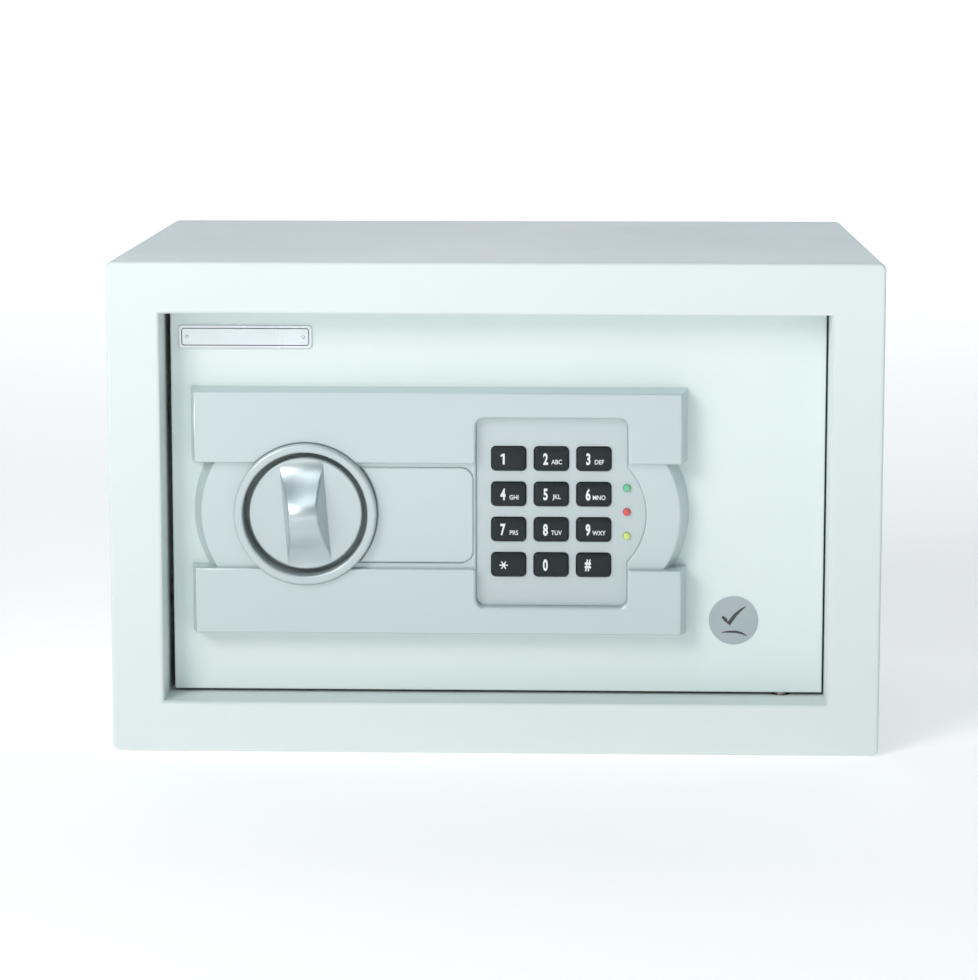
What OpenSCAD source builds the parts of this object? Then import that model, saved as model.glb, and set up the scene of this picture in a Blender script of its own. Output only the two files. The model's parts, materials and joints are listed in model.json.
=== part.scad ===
// In room safe: folded steel cabinet, recessed door, rotary knob lock with a keypad.
// Origin at the bottom centre of the cabinet, +X right, +Y back, +Z up.
// "Depth" is the distance behind the front face of the cabinet.

/* [Cabinet] */
// Outer width of the cabinet
body_w = 310; // [300:5:400]
// Outer height of the cabinet
body_h = 200; // [190:5:300]
// Outer depth of the cabinet
body_d = 200; // [150:5:400]
// Thickness of the cabinet sheet
sheet_t = 1.5; // [1:0.25:2]
// Width of the front rim on every side
rim_w = 21; // [18:1:25]
// Outer corner radius of the cabinet
corner_r = 3; // [2:0.5:5]
// Depth of the returns inside the rim
return_depth = 30; // [27:1:40]
// Radius of the anchor holes in the floor and in the back
anchor_r = 5; // [3:0.5:6]
// Distance between the two anchor holes of a wall
anchor_spacing = 160; // [100:10:200]

/* [Door] */
// Depth of the door's front face
door_recess = 17; // [16:0.5:20]
// Thickness of the door plate
door_t = 3; // [3:0.5:4]
// Gap above and below the door
door_gap = 1.2; // [1:0.1:2]
// Gap at the free edge of the door
latch_gap = 2.3; // [2:0.1:2.6]
// Distance from the door's hinge edge to the pin axis
hinge_inset = 16.5; // [15:0.5:18]
// Radius of the hinge pins
pin_r = 2.5; // [2:0.25:3]

/* [Lock panel] */
// Width of the lock panel
panel_w = 201.3; // [200:0.1:205]
// Height of the lock panel
panel_h = 100.6; // [99:0.1:108]
// Distance from the door's free edge to the panel
panel_inset = 8; // [7:0.1:10]
// Radius of the knob disc
knob_r = 23; // [20:0.2:23.4]
// Lean of the knob grip in degrees
knob_lean = 4.5; // [0:0.5:10]

/* [Keys] */
// Width of a key
key_w = 13.5; // [12:0.5:14.5]
// Height of a key
key_h = 9.3; // [9:0.1:11]
// Distance between key columns
key_pitch_x = 17.15; // [16.9:0.05:17.5]
// Distance between key rows
key_pitch_z = 14.47; // [13:0.01:15]
// Gap between a key and its window
key_gap = 0.3; // [0.3:0.05:0.5]

/* [Bolts] */
// Radius of the bolts
bolt_r = 8; // [6:0.5:9]
// Distance from each bolt to the knob axis
bolt_offset = 38; // [36:0.5:39]
// Radius of the crank that drives the bolts
crank_r = 10; // [8:0.5:10]

/* [Cells] */
// Radius of a cell
cell_r = 7.1; // [6:0.1:7.1]
// Length of a cell
cell_len = 50; // [44:0.5:50.5]

/* [Fits] */
// Radial clearance of a shaft that turns in a hole
run_fit = 0.05; // [0.02:0.01:0.1]
// Gap between two pieces that move past each other
free_gap = 0.4; // [0.35:0.05:0.6]

/* [Hidden] */
$fn = 48;
cabinet_colour = [0.87, 0.92, 0.92];
door_colour = [0.86, 0.89, 0.87];
panel_colour = [0.74, 0.78, 0.80];
key_colour = [0.13, 0.15, 0.18];
steel_colour = [0.62, 0.64, 0.66];

// Cabinet
front_y = -body_d / 2;
mid_z = body_h / 2;
inner_w = body_w - 2 * sheet_t;
inner_h = body_h - 2 * sheet_t;
open_left = -body_w / 2 + rim_w;
open_right = body_w / 2 - rim_w;
open_low = rim_w;
open_high = body_h - rim_w;
anchor_y = 20;
anchor_z = body_h - 80;

// Door and hinge
door_back = door_recess + door_t;
pin_depth = door_recess + door_t + 1.2;
pin_behind = pin_depth - door_recess;
swing_gap = sqrt(hinge_inset * hinge_inset + pin_behind * pin_behind) - hinge_inset + 0.25;
door_left = open_left + latch_gap;
door_right = open_right - swing_gap;
door_low = open_low + door_gap;
door_high = open_high - door_gap;
pin_x = door_right - hinge_inset;
bush_r = pin_r + 1.5;
bracket_t = 3;
block_h = 18;
pin_past = 2.5;

// Lock panel
panel_left = door_left + panel_inset;
panel_right = panel_left + panel_w;
lock_z = mid_z - 2.5;
panel_low = lock_z - panel_h / 2;
panel_high = lock_z + panel_h / 2;
band_low_top = panel_low + 27.8;
band_high_low = panel_high - 29.6;
band_depth = 5;
middle_depth = 8;
end_draft = 2.65;
edge_draft = 1;
bow_r = 41;
bow_inset = 4.7;
bow_draft = 3.6;
knob_x = panel_left + 47.3;
bezel_r = knob_r + 5.8;
sleeve_r = knob_r + 3.8;
bezel_depth = 2.5;
seat_depth = middle_depth;
spindle_r = 4;
plate_depth = 9.5;
plate_t = 1.5;
pad_left = panel_left + 116.1;
pad_right = pad_left + 61;
pad_low = panel_low + 12.3;
pad_high = panel_high - 11.4;
arc_x = pad_left + 40.6;
arc_r = 28;
key_x = pad_left + 30.3;
key_z = lock_z + 0.6;
lamp_x = pad_right - 0.2;
lamp_pitch = 9.8;
lamp_r = 1.5;
board_depth = 14;
board_t = 1.6;

// Cover tile and override lock
tile_right = pad_left - 1.4;
tile_h = 38.4;
tile_z = lock_z - 0.7;
tile_depth = middle_depth - 0.8;
tile_t = 2;
tile_floor = tile_depth + tile_t + 0.4;
barrel_x = knob_x + 52.4;
barrel_r = 9;
barrel_end = door_back + 12;
plug_r = 6;
tail_r = 3;
cam_reach = 17;

// Bolt work
bracket_left = door_left + 5.7;
bracket_right = barrel_x + 14;
bracket_low = lock_z - 53.5;
bracket_high = lock_z + 58.5;
bracket_wall = 1.5;
bolt_depth = door_back + 13;
bolt_tip = door_left + 1.7;
bolt_travel = crank_r * sqrt(2);
carriage_left = knob_x - 7.6;
carriage_right = knob_x + 40.4;
carriage_depth = door_back + 8;
carriage_t = 2;
crank_pin_r = 3;
bolt_tail_r = 2.8;
guide_r = 2;
guide_spots = [[knob_x + 16.4, lock_z - 31.5], [knob_x + 2.4, lock_z + 30.5]];

// Solenoid
coil_x = knob_x + 34.4;
coil_depth = carriage_depth + carriage_t / 2;
coil_low = lock_z + 22.5;
coil_high = coil_low + 30;
plunger_r = 3;
tab_top = lock_z + 14.5;
plunger_low = tab_top + free_gap;
arm_low = lock_z + cam_reach + 0.6;
arm_t = 2;

// Rear cover and cells
cover_left = door_left + 4.2;
cover_right = pin_x - 11.7;
cover_low = lock_z - 57.5;
cover_high = lock_z + 62.5;
cover_t = 1.2;
cover_back = door_back + 32;
flange_w = 10;
cell_pitch = 2 * cell_r + 0.2;
cell_count = 4;
tray_x = cover_right - 35;
tray_w = cell_len + 6;
tray_h = cell_pitch * cell_count + 2 * cover_t + 0.4;
tray_z = lock_z - 0.5;
tray_depth = door_back + 4;
cell_depth = tray_depth + 10;
lid_w = tray_w + 4;
lid_h = tray_h + 4;
reset_x = tray_x - 50;
reset_z = cover_low + 10;
reset_r = 3.5;

// Screws
screw_r = 1.75;
head_r = 3.3;
panel_screw_spots = [for (x = [panel_left + 11.7, panel_right - 7.6])
    for (z = [panel_low + 7, panel_high - 7]) [x, z]];
cover_screw_spots = [for (x = [cover_left + 15, (cover_left + cover_right) / 2, cover_right - 15])
    for (z = [cover_low - flange_w / 2, cover_high + flange_w / 2]) [x, z]];
wire_r = 1.5;
wire_x = key_x + 8;
wire_z = tray_z + tray_h / 2 + 3.5;
wire_depth = door_back + 4.5;

// A flat outline drawn in x and z, given thickness between two depths
module deep(near, far) {
    translate([0, front_y + far, 0])
        rotate([90, 0, 0])
            linear_extrude(height = far - near)
                children();
}

// A block between two x values, two depths and two heights
module slab(x, depth, z) {
    translate([x[0], front_y + depth[0], z[0]])
        cube([x[1] - x[0], depth[1] - depth[0], z[1] - z[0]]);
}

// A round bar along the depth direction
module rod_y(x, z, near, far, r) {
    deep(near, far)
        translate([x, z])
            circle(r);
}

// A round bar along x
module rod_x(x, depth, z, r) {
    translate([x[0], front_y + depth, z])
        rotate([0, 90, 0])
            cylinder(h = x[1] - x[0], r = r);
}

// A round bar along z
module rod_z(x, depth, z, r) {
    translate([x, front_y + depth, z[0]])
        cylinder(h = z[1] - z[0], r = r);
}

// A rectangle between two x values and two heights, with round corners
module pane(x, z, r) {
    square_in(x[0] + r, x[1] - r, z[0], z[1]);
    square_in(x[0], x[1], z[0] + r, z[1] - r);
    for (cx = [x[0] + r, x[1] - r])
        for (cz = [z[0] + r, z[1] - r])
            translate([cx, cz])
                circle(r);
}

module square_in(x0, x1, z0, z1) {
    translate([x0, z0])
        square([x1 - x0, z1 - z0]);
}

// A rounded rectangle round a centre
module pane_at(x, z, w, h, r) {
    pane([x - w / 2, x + w / 2], [z - h / 2, z + h / 2], r);
}

// ---- Cabinet ----

module body_shell() {
    color(cabinet_colour)
        difference() {
            deep(sheet_t, body_d)
                pane_at(0, mid_z, body_w, body_h, corner_r);
            deep(sheet_t - 1, body_d + 1)
                pane_at(0, mid_z, inner_w, inner_h, corner_r - sheet_t + 0.5);
            for (side = [-1, 1])
                translate([side * anchor_spacing / 2, anchor_y, -1])
                    cylinder(h = sheet_t + 2, r = anchor_r);
        }
}

module front_frame() {
    color(cabinet_colour)
        difference() {
            union() {
                deep(0, sheet_t)
                    pane_at(0, mid_z, body_w, body_h, corner_r);
                deep(sheet_t, return_depth)
                    square_in(open_left - sheet_t, open_right + sheet_t, open_low - sheet_t,
                        open_high + sheet_t);
                slab([open_left - sheet_t, open_left], [return_depth, bolt_depth + bolt_r + 4],
                    [open_low, open_high]);
            }
            deep(-1, return_depth + 1)
                square_in(open_left, open_right, open_low, open_high);
            for (side = [-1, 1])
                rod_x([open_left - 5, open_left + 5], bolt_depth, lock_z + side * bolt_offset,
                    bolt_r + 1);
            rod_z(pin_x, pin_depth, [open_low - 5, open_low + 1], bush_r);
            rod_z(pin_x, pin_depth, [open_high - 1, open_high + 5], bush_r);
        }
}

module back_panel() {
    color(cabinet_colour)
        difference() {
            deep(body_d - sheet_t, body_d)
                pane_at(0, mid_z, inner_w, inner_h, corner_r - sheet_t + 0.5);
            for (side = [-1, 1])
                rod_y(side * anchor_spacing / 2, anchor_z, body_d - 5, body_d + 5, anchor_r);
        }
}

module strike_plate() {
    color(steel_colour)
        difference() {
            slab([open_left - sheet_t - 2, open_left - sheet_t],
                [return_depth + 0.5 - 8, bolt_depth + bolt_r + 3],
                [lock_z - bolt_offset - bolt_r - 6, lock_z + bolt_offset + bolt_r + 6]);
            for (side = [-1, 1])
                rod_x([open_left - 8, open_left], bolt_depth, lock_z + side * bolt_offset,
                    bolt_r + 1);
        }
}

module door_stop() {
    stop_x = [open_left + 40, open_left + 74];
    color(cabinet_colour) {
        slab(stop_x, [door_back + 0.3, door_back + 2], [open_high - 4, open_high]);
        slab(stop_x, [door_back + 2, door_back + 9], [open_high - 1.2, open_high]);
    }
}

module hinge_brackets() {
    color(steel_colour)
        for (z = [open_low - sheet_t - bracket_t, open_high + sheet_t])
            difference() {
                slab([pin_x - 13, pin_x + 13], [8, return_depth - 1], [z, z + bracket_t]);
                rod_z(pin_x, pin_depth, [z - 1, z + bracket_t + 1], bush_r);
            }
}

module hinge_bushes() {
    color("goldenrod")
        for (z = [open_low - sheet_t - bracket_t, open_high])
            difference() {
                rod_z(pin_x, pin_depth, [z, z + sheet_t + bracket_t], bush_r);
                rod_z(pin_x, pin_depth, [z - 1, z + sheet_t + bracket_t + 1], pin_r + run_fit);
            }
}

module floor_mat() {
    color([0.20, 0.21, 0.23])
        difference() {
            slab([-inner_w / 2 + corner_r, inner_w / 2 - corner_r], [3, body_d - 3],
                [sheet_t, sheet_t + 2]);
            for (side = [-1, 1])
                translate([side * anchor_spacing / 2, anchor_y, 0])
                    cylinder(h = sheet_t + 5, r = anchor_r + 4);
        }
}

// ---- Door ----

module hinge_bores() {
    rod_z(pin_x, pin_depth, [door_low - 1, door_low + block_h], pin_r);
    rod_z(pin_x, pin_depth, [door_high - block_h, door_high + 1], pin_r);
}

module door_plate() {
    color(door_colour)
        difference() {
            deep(door_recess, door_back)
                pane([door_left, door_right], [door_low, door_high], 1);
            hinge_bores();
            rod_y(knob_x, lock_z, door_recess - 1, door_back + 1, spindle_r + run_fit);
            rod_y(barrel_x, lock_z, door_recess - 1, door_back + 1, barrel_r);
            rod_y(wire_x, wire_z, door_recess - 1, door_back + 1, 4);
            for (spot = panel_screw_spots)
                rod_y(spot[0], spot[1], door_recess - 1, door_back + 1, screw_r);
            for (spot = cover_screw_spots)
                rod_y(spot[0], spot[1], door_recess + 0.8, door_back + 1, screw_r);
        }
}

module hinge_pins() {
    color(steel_colour) {
        rod_z(pin_x, pin_depth, [open_low - sheet_t - bracket_t - pin_past, door_low + block_h],
            pin_r);
        rod_z(pin_x, pin_depth, [door_high - block_h, open_high + sheet_t + bracket_t + pin_past],
            pin_r);
    }
}

module hinge_blocks() {
    color(steel_colour)
        difference() {
            for (z = [door_low, door_high - block_h])
                slab([pin_x - 6, pin_x + 6], [door_back, door_back + 7], [z, z + block_h]);
            hinge_bores();
        }
}

module lock_bracket() {
    color(steel_colour)
        difference() {
            union() {
                slab([bracket_left, bracket_right], [door_back, door_back + bracket_wall],
                    [bracket_low, bracket_high]);
                slab([bracket_left, bracket_left + bracket_wall],
                    [door_back, bolt_depth + bolt_r + 4],
                    [bracket_low, bracket_high]);
            }
            rod_y(knob_x, lock_z, door_back - 1, door_back + 3, spindle_r + 0.5);
            rod_y(barrel_x, lock_z, door_back - 1, door_back + 3, barrel_r);
            for (spot = guide_spots)
                rod_y(spot[0], spot[1], door_back - 1, door_back + 3, guide_r);
            for (spot = panel_screw_spots)
                rod_y(spot[0], spot[1], door_back - 1, door_back + 3, head_r + 0.5);
            for (side = [-1, 1])
                rod_x([bracket_left - 1, bracket_left + 3], bolt_depth,
                    lock_z + side * bolt_offset, bolt_r + run_fit);
        }
}

module rear_cover() {
    color(door_colour)
        difference() {
            union() {
                deep(door_back, cover_back)
                    pane([cover_left, cover_right], [cover_low, cover_high], 3);
                deep(door_back, door_back + cover_t)
                    pane([cover_left, cover_right], [cover_low - flange_w, cover_high + flange_w],
                        3);
            }
            deep(door_back - 1, cover_back - cover_t)
                pane([cover_left + cover_t, cover_right - cover_t],
                    [cover_low + cover_t, cover_high - cover_t], 2);
            deep(cover_back - cover_t - 1, cover_back + 1)
                pane_at(tray_x, tray_z, lid_w, lid_h, 2);
            for (spot = cover_screw_spots)
                rod_y(spot[0], spot[1], door_back - 1, door_back + 3, screw_r);
            for (side = [-1, 1])
                rod_x([cover_left - 1, cover_left + 3], bolt_depth, lock_z + side * bolt_offset,
                    bolt_r + 1);
            rod_y(reset_x, reset_z, cover_back - 3, cover_back + 1, reset_r + run_fit);
        }
}

module battery_tray() {
    color([0.16, 0.17, 0.19]) {
        difference() {
            slab([tray_x - tray_w / 2, tray_x + tray_w / 2], [tray_depth, tray_depth + 18],
                [tray_z - tray_h / 2, tray_z + tray_h / 2]);
            slab([tray_x - tray_w / 2 + cover_t, tray_x + tray_w / 2 - cover_t],
                [tray_depth + 1.5, tray_depth + 19],
                [tray_z - tray_h / 2 + cover_t, tray_z + tray_h / 2 - cover_t]);
        }
        for (x = [-1, 1])
            for (z = [-1, 1])
                rod_y(tray_x + x * (tray_w / 2 - 5), tray_z + z * (tray_h / 2 - 5), door_back,
                    tray_depth, 3);
    }
}

module each_cell() {
    for (row = [0 : cell_count - 1])
        translate([0, 0, tray_z + (row - (cell_count - 1) / 2) * cell_pitch])
            mirror([row % 2, 0, 0])
                children();
}

module batteries() {
    color([0.20, 0.36, 0.55])
        translate([tray_x, 0, 0])
            each_cell() {
                rod_x([-cell_len / 2, cell_len / 2 - 1.5], cell_depth, 0, cell_r);
                rod_x([cell_len / 2 - 1.5, cell_len / 2], cell_depth, 0, 2.6);
            }
}

module battery_contacts() {
    color("silver")
        translate([tray_x, 0, 0])
            each_cell() {
                slab([cell_len / 2, cell_len / 2 + 0.5], [cell_depth - 5, cell_depth + 5], [-5, 5]);
                slab([cell_len / 2 + 0.5, tray_w / 2 - cover_t], [cell_depth - 1, cell_depth + 1],
                    [-2, 2]);
                slab([-tray_w / 2 + cover_t, -tray_w / 2 + cover_t + 0.5],
                    [cell_depth - 5, cell_depth + 5], [-5, 5]);
                rod_x([-tray_w / 2 + cover_t + 0.5, -cell_len / 2], cell_depth, 0, 3);
            }
}

// ---- Lock panel and what it holds ----

// The recess round the keys: an upright rectangle with a bulge at its right
module pad_outline() {
    pane([pad_left, pad_right], [pad_low, pad_high], 3.5);
    intersection() {
        translate([arc_x, lock_z - 0.5])
            circle(arc_r);
        square_in(arc_x, arc_x + 2 * arc_r, band_low_top, band_high_low);
    }
}

// A raised band of the panel, with sloping ends, which leans back towards its sloping long edge
module band(low, high, low_draft, high_draft) {
    run = door_recess - band_depth;
    intersection() {
        translate([0, front_y + band_depth, low])
            linear_extrude(height = high - low)
                polygon([[panel_left + end_draft, 0], [panel_right - end_draft, 0],
                    [panel_right, run], [panel_left, run]]);
        translate([panel_left, front_y + band_depth, 0])
            rotate([90, 0, 90])
                linear_extrude(height = panel_w)
                    polygon([[low_draft, low + low_draft], [high_draft, high - high_draft], [run, high], [run, low]]);
    }
}

// The lower middle of the panel, with bowed and sloping ends
module middle() {
    run = door_recess - middle_depth;
    bow_left = panel_left + bow_inset + bow_r;
    bow_right = panel_right - bow_inset + 2 - bow_r;
    intersection() {
        union() {
            slab([bow_left, bow_right], [middle_depth, door_recess],
                [band_low_top - 1, band_high_low + 1]);
            for (x = [bow_left, bow_right])
                translate([x, front_y + middle_depth, lock_z - 0.5])
                    rotate([-90, 0, 0])
                        cylinder(h = run, r1 = bow_r, r2 = bow_r + bow_draft, $fn = 96);
        }
        slab([panel_left - 1, panel_right + 4], [middle_depth, door_recess],
            [band_low_top - 1, band_high_low + 1]);
    }
}

// The cover tile, with a margin all round except along the bezel
module tile_outline(margin, round_gap) {
    difference() {
        pane([knob_x, tile_right + margin],
            [tile_z - tile_h / 2 - margin, tile_z + tile_h / 2 + margin], 5);
        translate([knob_x, lock_z])
            circle(bezel_r + round_gap);
    }
}

module key_spots() {
    for (row = [0 : 3])
        for (column = [0 : 2])
            translate([key_x + (column - 1) * key_pitch_x, key_z + (1.5 - row) * key_pitch_z])
                children();
}

module lamp_spots(rows) {
    for (row = rows)
        translate([lamp_x, key_z + row * lamp_pitch])
            children();
}

module lock_panel() {
    color(panel_colour)
        difference() {
            union() {
                band(panel_low, band_low_top, edge_draft, 0);
                band(band_high_low, panel_high, 0, edge_draft);
                middle();
            }
            // Seat and hole of the knob bezel
            rod_y(knob_x, lock_z, 0, seat_depth, bezel_r + 0.1);
            rod_y(knob_x, lock_z, 0, door_recess + 1, sleeve_r + 0.1);
            // Window of the keys and the room for the circuit board
            deep(0, door_recess + 1)
                pad_outline();
            deep(plate_depth + plate_t, door_recess + 1)
                pane([pad_left - 2.4, pad_right + 2.5], [pad_low - 2.5, pad_high + 2.5], 2);
            // Pocket of the cover tile and hole of the override lock
            deep(0, tile_floor)
                tile_outline(free_gap, -0.6);
            rod_y(barrel_x, lock_z, 0, tile_floor + 1.5, barrel_r + 1.5);
            rod_y(barrel_x, lock_z, 0, door_recess + 1, barrel_r);
            // Hollow back of both bands
            for (z = [[panel_low + 3.5, band_low_top - 8], [band_high_low + 10, panel_high - 3.5]])
                difference() {
                    deep(band_depth + 4, door_recess + 1)
                        pane([panel_left + 5, pad_left - 4.9], z, 1);
                    for (spot = panel_screw_spots)
                        rod_y(spot[0], spot[1], 0, door_recess + 2, 4);
                }
            for (spot = panel_screw_spots)
                rod_y(spot[0], spot[1], band_depth + 4, door_recess + 1, screw_r);
        }
}

module keypad_plate() {
    color(panel_colour)
        difference() {
            deep(plate_depth, plate_depth + plate_t)
                pad_outline();
            deep(plate_depth - 1, plate_depth + plate_t + 1)
                key_spots()
                    pane_at(0, 0, key_w + 2 * key_gap, key_h + 2 * key_gap, 1.5 + key_gap);
            deep(plate_depth - 1, plate_depth + plate_t + 1)
                lamp_spots([-1, 0, 1])
                    circle(lamp_r);
        }
}

module knob_bezel() {
    color([0.86, 0.90, 0.92])
        difference() {
            union() {
                rod_y(knob_x, lock_z, bezel_depth, seat_depth, bezel_r);
                rod_y(knob_x, lock_z, seat_depth, door_recess - 1, sleeve_r);
            }
            rod_y(knob_x, lock_z, bezel_depth - 1, door_recess, knob_r + 2.2);
        }
}

module keypad_dome_sheet() {
    color([0.55, 0.57, 0.60])
        deep(board_depth - 0.6, board_depth)
            pane([pad_left + 1.5, lamp_x - lamp_r - 0.7], [pad_low - 1, pad_high + 1], 1);
}

module keypad_circuit_board() {
    color([0.10, 0.35, 0.20])
        deep(board_depth, board_depth + board_t)
            pane([pad_left - 1.5, pad_right + 1.5], [pad_low - 1.5, pad_high + 1.5], 1);
}

module status_lamp(row) {
    deep(plate_depth - 0.5, board_depth)
        lamp_spots([row])
            circle(lamp_r);
    translate([lamp_x, front_y + plate_depth - 0.5, key_z + row * lamp_pitch])
        sphere(lamp_r);
}

module status_lamp_green() {
    color("limegreen")
        status_lamp(1);
}

module status_lamp_red() {
    color("red")
        status_lamp(0);
}

module status_lamp_yellow() {
    color("gold")
        status_lamp(-1);
}

module name_badge() {
    color([0.75, 0.77, 0.79])
        deep(door_recess - 0.8, door_recess)
            pane([door_left + 3.5, door_left + 57.5], [door_high - 14.6, door_high - 5.2], 1.5);
}

module inspection_label() {
    color([0.70, 0.74, 0.74])
        rod_y(panel_right + 19.4, panel_low + 5, door_recess - 0.3, door_recess, 10);
}

// ---- Solenoid ----

module solenoid_frame() {
    color(steel_colour)
        difference() {
            union() {
                slab([coil_x - 11, coil_x + 11],
                    [door_back + bracket_wall, door_back + bracket_wall + 1.5],
                    [coil_low, coil_high]);
                for (z = [coil_low, coil_high - 1.5])
                    slab([coil_x - 11, coil_x + 11], [door_back + bracket_wall, coil_depth + 8],
                        [z, z + 1.5]);
            }
            rod_z(coil_x, coil_depth, [coil_low - 1, coil_low + 3], plunger_r + 0.1);
        }
}

module solenoid_coil() {
    color([0.55, 0.25, 0.12])
        difference() {
            rod_z(coil_x, coil_depth, [coil_low + 1.5, coil_high - 1.5], 5.8);
            rod_z(coil_x, coil_depth, [coil_low, coil_high], plunger_r + 0.1);
        }
}

module solenoid_plunger() {
    color(steel_colour) {
        rod_z(coil_x, coil_depth, [plunger_low, coil_low + 22], plunger_r);
        rod_z(coil_x, coil_depth, [arm_low, arm_low + arm_t], plunger_r + 2);
        slab([coil_x, barrel_x + 4], [coil_depth, coil_depth + 7], [arm_low, arm_low + arm_t]);
    }
}

spring_low = arm_low + arm_t;
spring_wire = 0.4;
spring_turns = 3;
spring_steps = 16;

// One ring of the spring's wire at an angle along the helix
function wire_ring(turn) = [for (k = [0 : 5])
    let (r = plunger_r + 0.9 + spring_wire * cos(60 * k))
    [r * cos(turn), r * sin(turn), spring_wire * sin(60 * k)
        + (coil_low - spring_low - 2 * spring_wire) * turn / (360 * spring_turns)]];

module plunger_spring() {
    rings = spring_turns * spring_steps;
    points = [for (i = [0 : rings]) each wire_ring(i * 360 / spring_steps)];
    sides = [for (i = [0 : rings - 1]) for (k = [0 : 5])
        [6 * i + k, 6 * i + (k + 1) % 6, 6 * i + 6 + (k + 1) % 6, 6 * i + 6 + k]];
    ends = [[5, 4, 3, 2, 1, 0], [for (k = [0 : 5]) 6 * rings + k]];
    color("silver")
        translate([coil_x, front_y + coil_depth, spring_low + spring_wire])
            polyhedron(points, concat(sides, ends));
}

// ---- Knob and its shaft ----

module knob() {
    grip_high = 12;
    grip_curve = (knob_r * knob_r + grip_high * grip_high) / (2 * grip_high);
    base_depth = 6;
    color([0.80, 0.84, 0.86])
        difference() {
            union() {
                rod_y(knob_x, lock_z, base_depth, base_depth + 6, knob_r);
                rod_y(knob_x, lock_z, base_depth + 6, door_recess - 0.5, 8);
                translate([knob_x, front_y + base_depth, lock_z])
                    rotate([0, -knob_lean, 0])
                        intersection() {
                            translate([0, 0, -knob_r])
                                linear_extrude(height = 2 * knob_r)
                                    polygon([[-9, 0.1], [9, 0.1], [6.3, -grip_high - 1], [-6.3, -grip_high - 1]]);
                            translate([-10, grip_curve - grip_high, 0])
                                rotate([0, 90, 0])
                                    cylinder(h = 20, r = grip_curve, $fn = 96);
                            rotate([90, 0, 0])
                                cylinder(h = 4 * grip_high, r = knob_r - 0.3, center = true);
                        }
            }
            rod_y(knob_x, lock_z, base_depth + 3, door_recess, spindle_r);
        }
}

module knob_spindle() {
    color(steel_colour)
        rod_y(knob_x, lock_z, 9, door_back + 7.3, spindle_r);
}

module drive_cam() {
    color(steel_colour) {
        difference() {
            rod_y(knob_x, lock_z, door_back + 2, door_back + 6, 14);
            rod_y(knob_x, lock_z, door_back + 1, door_back + 7, spindle_r);
        }
        rod_y(knob_x + crank_r * sin(45), lock_z + crank_r * cos(45), door_back + 6,
            door_back + 11.5, crank_pin_r);
    }
}

module spindle_circlip() {
    color("dimgray")
        deep(door_back + 6.1, door_back + 7)
            translate([knob_x, lock_z])
                difference() {
                    circle(6);
                    circle(spindle_r);
                    square_in(-7, 0, -1.5, 1.5);
                }
}

// ---- Bolt work ----

module bolt_carriage() {
    pin_rest = knob_x + crank_r * sin(45);
    color(steel_colour)
        difference() {
            union() {
                slab([carriage_left, carriage_right], [carriage_depth, carriage_depth + carriage_t],
                    [lock_z - 47.5, tab_top]);
                slab([carriage_left, knob_x + 21.4], [carriage_depth, carriage_depth + carriage_t],
                    [tab_top, lock_z + 47.5]);
                slab([carriage_left, carriage_left + 2], [carriage_depth, bolt_depth + 7],
                    [lock_z - 47.5, lock_z + 47.5]);
            }
            // Upright slot of the crank pin
            deep(carriage_depth - 1, carriage_depth + carriage_t + 1)
                pane([pin_rest - crank_pin_r - free_gap, pin_rest + crank_pin_r + free_gap],
                    [lock_z + crank_r * sin(45) - crank_pin_r - 0.8,
                        lock_z + crank_r + crank_pin_r + 0.6],
                    crank_pin_r);
            // Level slots of the guide screws
            for (spot = guide_spots)
                deep(carriage_depth - 1, carriage_depth + carriage_t + 1)
                    pane([spot[0] - guide_r - free_gap, spot[0] + bolt_travel + guide_r + free_gap],
                        [spot[1] - guide_r - 0.3, spot[1] + guide_r + 0.3], guide_r);
            for (side = [-1, 1])
                rod_x([carriage_left - 1, carriage_left + 3], bolt_depth,
                    lock_z + side * bolt_offset, bolt_tail_r);
        }
}

module bolt(side) {
    z = lock_z + side * bolt_offset;
    color([0.80, 0.81, 0.83]) {
        rod_x([bolt_tip + 1, carriage_left], bolt_depth, z, bolt_r);
        rod_x([carriage_left, carriage_left + 3.5], bolt_depth, z, bolt_tail_r);
        translate([bolt_tip, front_y + bolt_depth, z])
            rotate([0, 90, 0])
                cylinder(h = 1, r1 = bolt_r - 1, r2 = bolt_r);
    }
}

module bolt_upper() {
    bolt(1);
}

module bolt_lower() {
    bolt(-1);
}

// ---- Keys, buttons and covers ----

module key(column, row) {
    color(key_colour)
        translate([(column - 1) * key_pitch_x, 0, (1.5 - row) * key_pitch_z]) {
            deep(plate_depth - 1.9, plate_depth + plate_t + 0.3)
                pane_at(key_x, key_z, key_w, key_h, 1.5);
            deep(plate_depth + plate_t + 0.3, plate_depth + plate_t + 1.1)
                pane_at(key_x, key_z, key_w + 1.6, key_h + 1.6, 1);
        }
}

module reset_button() {
    color("firebrick") {
        rod_y(reset_x, reset_z, cover_back - cover_t - 0.4, cover_back + 1.8, reset_r);
        rod_y(reset_x, reset_z, cover_back - cover_t - 1.8, cover_back - cover_t - 0.4,
            reset_r + 1.5);
    }
}

module battery_lid() {
    color(door_colour)
        difference() {
            union() {
                deep(cover_back + 0.3, cover_back + 1.5)
                    pane_at(tray_x, tray_z, lid_w + 4, lid_h + 4, 3);
                deep(cover_back - 2, cover_back + 0.3)
                    pane_at(tray_x, tray_z, lid_w - 2 * free_gap, lid_h - 2 * free_gap, 2);
            }
            deep(cover_back - 3, cover_back + 0.3)
                pane_at(tray_x, tray_z, lid_w - 2 * free_gap - 2.4, lid_h - 2 * free_gap - 2.4, 1);
        }
}

module key_cover() {
    color(panel_colour)
        deep(tile_depth, tile_depth + tile_t)
            tile_outline(0, free_gap);
}

// ---- Override lock ----

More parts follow.
